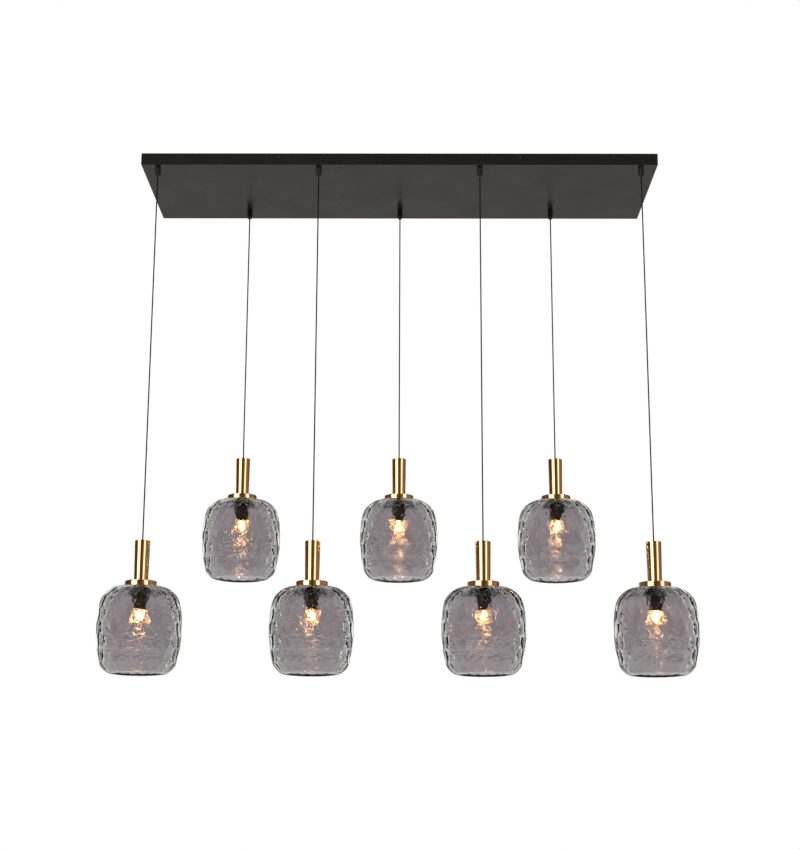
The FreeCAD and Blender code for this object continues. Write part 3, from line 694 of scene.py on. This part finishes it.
def bulb_pieces(drop, globe_radius):
    """Meshes of screw cap, collar, globe, glow and core, down from the contact."""
    centre = globe_radius - drop
    shoulder = math.asin(BULB_SHOULDER / globe_radius)
    collar_low = centre + globe_radius * math.cos(shoulder)
    neck_top = -BULB_CAP_LENGTH
    collar = [(0, neck_top), (BULB_NECK_RADIUS, neck_top),
              (BULB_NECK_RADIUS, neck_top - BULB_NECK_LENGTH), (BULB_SHOULDER, collar_low),
              (BULB_SHOULDER - COLLAR_LIP, collar_low), (0, collar_low + COLLAR_LIP)]
    globe = [(0, collar_low + GLOBE_SEAT)]
    globe += ball_points(centre, globe_radius, shoulder, math.pi, steps=28)[:-1]
    globe.append((0, centre - globe_radius))
    glow = [(0, centre + GLOW_RADIUS)]
    glow += ball_points(centre, GLOW_RADIUS, POLE_ANGLE, math.pi - POLE_ANGLE, steps=20)
    glow.append((0, centre - GLOW_RADIUS))
    core = [(0, centre + CORE_TIP), (CORE_TIP_RADIUS, centre + CORE_TIP_EDGE)]
    core += ball_points(centre, CORE_RADIUS, CORE_NECK_ANGLE, math.pi - POLE_ANGLE, steps=16)
    core.append((0, centre - CORE_RADIUS))
    return {"bulb_cap": turned_mesh("screw_cap", screw_cap_profile()),
            "bulb_collar": turned_mesh("bulb_collar", collar),
            "bulb_globe": turned_mesh("satin_globe", globe),
            "bulb_glow": turned_mesh("inner_glow", glow),
            "bulb_core": turned_mesh("glowing_core", core)}


bulb_low, bulb_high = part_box("bulb_1")
piece_meshes = bulb_pieces(bulb_high.z - bulb_low.z, (bulb_high.x - bulb_low.x) / 2)
piece_finishes = (zinc, holder_finish,
                  glowing("satin_globe", GLOBE_WARM, strength=3.2, alpha=0.07),
                  glowing("inner_glow", GLOW_WARM, strength=160.0),
                  glowing("glowing_core", CORE_WARM, strength=40.0))
for mesh, finish in zip(piece_meshes.values(), piece_finishes):
    mesh.materials.append(finish)
for number in PENDANTS:
    x, y = pendant_axis(number)
    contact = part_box(f"bulb_{number}")[1].z
    pieces = {}
    for name, mesh in piece_meshes.items():
        piece = bpy.data.objects.new(f"{name}_{number}", mesh)
        bpy.context.scene.collection.objects.link(piece)
        piece.location = (x, y, contact)
        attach(piece, f"head_{number}")
        pieces[name] = piece
    glow = pieces["bulb_glow"]
    glow.visible_camera = glow.visible_transmission = glow.visible_diffuse = False
    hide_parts(f"bulb_{number}")


# ==== studio ==============================================================================
# Pale floor far below the pendants, a white backdrop all round, soft lamps, and the camera
# at the photograph's viewing angle. None of it belongs to the object.

WHITE = (1, 1, 1, 1)
DIFFUSE_LEVEL = 0.8
WARM_ROOM = (1, 0.6, 0.38, 1)
ROOM_LEVEL = 0.09
COPPER_SIDE_LEVEL = 0.22
SOFTBOX_EDGE = 0.05
GLASS_LEAST = 0.04
GLASS_MOST = 0.96
GLASS_ENDS_DIM = 0.7
FLOOR_LEVEL = -2.4
FLOOR_RADIUS = 9.0
FLOOR_CORNERS = 96
FLOOR_PALE = (0.86, 0.86, 0.86, 1)
FLOOR_PLAIN_RADIUS = 1.5
FLOOR_WHITE_RADIUS = 6.0
FRAME_WIDTH_PX = 800
FOCAL_PX = 1599.4
SENSOR_WIDTH = 36.0
CAMERA_PLACE = Vector((0.0300, -3.9472, -1.6026))
CAMERA_YAW = math.radians(0.393)
CAMERA_PITCH = math.radians(13.464)
CAMERA_ROLL = math.radians(0.202)


def camera_axes():
    ahead = Vector((-math.sin(CAMERA_YAW) * math.cos(CAMERA_PITCH),
                    math.cos(CAMERA_YAW) * math.cos(CAMERA_PITCH), math.sin(CAMERA_PITCH)))
    level_right = Vector((math.cos(CAMERA_YAW), math.sin(CAMERA_YAW), 0))
    level_up = level_right.cross(ahead)
    right = level_right * math.cos(CAMERA_ROLL) + level_up * math.sin(CAMERA_ROLL)
    up = level_up * math.cos(CAMERA_ROLL) - level_right * math.sin(CAMERA_ROLL)
    return right, up, ahead


lens = bpy.data.cameras.new("camera")
lens.sensor_fit = "HORIZONTAL"
lens.sensor_width = SENSOR_WIDTH
lens.lens = FOCAL_PX / FRAME_WIDTH_PX * SENSOR_WIDTH
lens.clip_end = 60
camera = bpy.data.objects.new("camera", lens)
bpy.context.scene.collection.objects.link(camera)
right, up, ahead = camera_axes()
camera_turn = Matrix((right, up, -ahead)).transposed().to_4x4()
camera.matrix_world = Matrix.Translation(CAMERA_PLACE) @ camera_turn
bpy.context.scene.camera = camera


def pale_floor():
    """Matt floor that keeps the shadow in its middle, runs out into the white backdrop, and
    shows nothing from below."""
    finish, shader = new_finish("pale_floor", FLOOR_PALE, roughness=0.9)
    place = add_node(finish, "ShaderNodeTexCoord")
    reach = add_node(finish, "ShaderNodeVectorMath", operation="LENGTH")
    join(finish, place.outputs["Object"], reach.inputs[0])
    outer = add_node(finish, "ShaderNodeMapRange", interpolation_type="SMOOTHSTEP")
    outer.inputs["From Min"].default_value = FLOOR_PLAIN_RADIUS
    outer.inputs["From Max"].default_value = FLOOR_WHITE_RADIUS
    join(finish, reach.outputs["Value"], outer.inputs["Value"])
    rays = add_node(finish, "ShaderNodeLightPath")
    seen = add_node(finish, "ShaderNodeMath", operation="SUBTRACT")
    seen.inputs[0].default_value = 1.0
    join(finish, rays.outputs["Is Diffuse Ray"], seen.inputs[1])
    share = add_node(finish, "ShaderNodeMath", operation="MULTIPLY")
    join(finish, outer.outputs["Result"], share.inputs[0])
    join(finish, seen.outputs["Value"], share.inputs[1])
    white = add_node(finish, "ShaderNodeEmission")
    white.inputs["Color"].default_value = WHITE
    run_out = add_node(finish, "ShaderNodeMixShader")
    join(finish, share.outputs["Value"], run_out.inputs["Fac"])
    join(finish, shader.outputs["BSDF"], run_out.inputs[1])
    join(finish, white.outputs["Emission"], run_out.inputs[2])
    side = add_node(finish, "ShaderNodeNewGeometry")
    under = add_node(finish, "ShaderNodeBsdfTransparent")
    both = add_node(finish, "ShaderNodeMixShader")
    join(finish, side.outputs["Backfacing"], both.inputs["Fac"])
    join(finish, run_out.outputs["Shader"], both.inputs[1])
    join(finish, under.outputs["BSDF"], both.inputs[2])
    output = finish.node_tree.nodes["Material Output"]
    join(finish, both.outputs["Shader"], output.inputs["Surface"])
    return finish


floor_mesh = bpy.data.meshes.new("floor")
floor_mesh.from_pydata([(FLOOR_RADIUS * math.cos(2 * math.pi * corner / FLOOR_CORNERS),
                         FLOOR_RADIUS * math.sin(2 * math.pi * corner / FLOOR_CORNERS), 0)
                        for corner in range(FLOOR_CORNERS)], [], [tuple(range(FLOOR_CORNERS))])
floor_mesh.materials.append(pale_floor())
floor = bpy.data.objects.new("floor", floor_mesh)
bpy.context.scene.collection.objects.link(floor)
floor.location.z = FLOOR_LEVEL


def studio_world():
    """White for what the camera sees, also straight through the glass. Metal, and light
    that bounces about in the glass, see a studio with softboxes and a darker front."""
    world = bpy.data.worlds.new("studio")
    world.use_nodes = True
    nodes, links = world.node_tree.nodes, world.node_tree.links
    nodes.clear()

    def calc(operation, *values):
        node = nodes.new("ShaderNodeMath")
        node.operation = operation
        for socket, given in zip(node.inputs, values):
            if isinstance(given, (int, float)):
                socket.default_value = given
            else:
                links.new(given, socket)
        return node.outputs["Value"]

    def smooth(amount, start, end):
        node = nodes.new("ShaderNodeMapRange")
        node.interpolation_type = "SMOOTHSTEP"
        node.inputs["From Min"].default_value = start
        node.inputs["From Max"].default_value = end
        links.new(amount, node.inputs["Value"])
        return node.outputs["Result"]

    place = nodes.new("ShaderNodeTexCoord")
    split = nodes.new("ShaderNodeSeparateXYZ")
    links.new(place.outputs["Generated"], split.inputs["Vector"])
    x, y, z = (split.outputs[axis] for axis in "XYZ")
    bearing = calc("DEGREES", calc("ARCTAN2", x, calc("MULTIPLY", y, -1.0)))

    def softbox(left, right, blur, low, high):
        across = calc("MULTIPLY", smooth(bearing, left - blur, left + blur),
                      calc("SUBTRACT", 1.0, smooth(bearing, right - blur, right + blur)))
        height = calc("MULTIPLY", smooth(z, low - SOFTBOX_EDGE, low + SOFTBOX_EDGE),
                      calc("SUBTRACT", 1.0, smooth(z, high - SOFTBOX_EDGE, high + SOFTBOX_EDGE)))
        return calc("MULTIPLY", across, height)

    copper_side = calc("MULTIPLY", smooth(bearing, 12, 30),
                       calc("SUBTRACT", 1.0, smooth(bearing, 100, 130)))
    metal = calc("ADD", ROOM_LEVEL, calc("MULTIPLY", copper_side, COPPER_SIDE_LEVEL))
    for left, right, blur, low, high, strength in (
            (-60, -20, 5, -0.1, 0.9, 2.6), (36, 58, 5, -0.1, 0.9, 2.0),
            (154, 166, 4, 0.0, 0.9, 1.6), (-160, -147, 4, 0.0, 0.9, 1.6)):
        box = softbox(left, right, blur, low, high)
        metal = calc("ADD", metal, calc("MULTIPLY", box, strength))
    glass_front = smooth(y, -0.4, 0.2)
    ends = smooth(calc("ABSOLUTE", z), 0.45, 0.8)
    level = calc("SUBTRACT", 1.0, calc("MULTIPLY", ends, GLASS_ENDS_DIM))
    inside = calc("MULTIPLY", calc("MULTIPLY", glass_front, level), GLASS_MOST)
    inside = calc("ADD", GLASS_LEAST, inside)

    rays = nodes.new("ShaderNodeLightPath")
    is_camera = rays.outputs["Is Camera Ray"]
    is_diffuse = rays.outputs["Is Diffuse Ray"]
    passed = calc("GREATER_THAN", rays.outputs["Transmission Depth"], 0.5)
    bounced = calc("GREATER_THAN", rays.outputs["Glossy Depth"], 0.5)
    straight = calc("MULTIPLY", passed, calc("SUBTRACT", 1.0, bounced))
    white = calc("MAXIMUM", is_camera, straight)

    def pick(choice, first, second):
        return calc("ADD", calc("MULTIPLY", choice, first),
                    calc("MULTIPLY", calc("SUBTRACT", 1.0, choice), second))

    strength = pick(white, 1.0, pick(is_diffuse, DIFFUSE_LEVEL, pick(passed, inside, metal)))
    dim_room = calc("MULTIPLY", calc("SUBTRACT", 1.0, calc("MAXIMUM", white, passed)),
                    calc("SUBTRACT", 1.0, smooth(strength, 0.4, 0.9)))
    tint = nodes.new("ShaderNodeMix")
    tint.data_type = "RGBA"
    tint.inputs["A"].default_value = WHITE
    tint.inputs["B"].default_value = WARM_ROOM
    links.new(calc("MULTIPLY", dim_room, calc("SUBTRACT", 1.0, is_diffuse)), tint.inputs["Factor"])
    backdrop = nodes.new("ShaderNodeBackground")
    links.new(tint.outputs["Result"], backdrop.inputs["Color"])
    links.new(strength, backdrop.inputs["Strength"])
    output = nodes.new("ShaderNodeOutputWorld")
    links.new(backdrop.outputs["Background"], output.inputs["Surface"])
    bpy.context.scene.world = world


studio_world()


def soft_lamp(name, place, aim, size, power):
    light = bpy.data.lights.new(name, "AREA")
    light.shape = "RECTANGLE"
    light.size, light.size_y = size
    light.energy = power
    lamp = bpy.data.objects.new(name, light)
    bpy.context.scene.collection.objects.link(lamp)
    lamp.location = place
    lamp.visible_glossy = False
    lamp.visible_transmission = False
    lamp.rotation_euler = (Vector(aim) - Vector(place)).to_track_quat("-Z", "Y").to_euler()


OBJECT_MIDDLE = (0, 0, -0.8)
soft_lamp("key_softbox", (-2.6, -2.4, -0.2), OBJECT_MIDDLE, size=(0.9, 2.2), power=35)
soft_lamp("fill_softbox", (2.4, -2.0, -0.4), OBJECT_MIDDLE, size=(0.5, 2.0), power=14)

bpy.context.scene.view_settings.view_transform = "Standard"
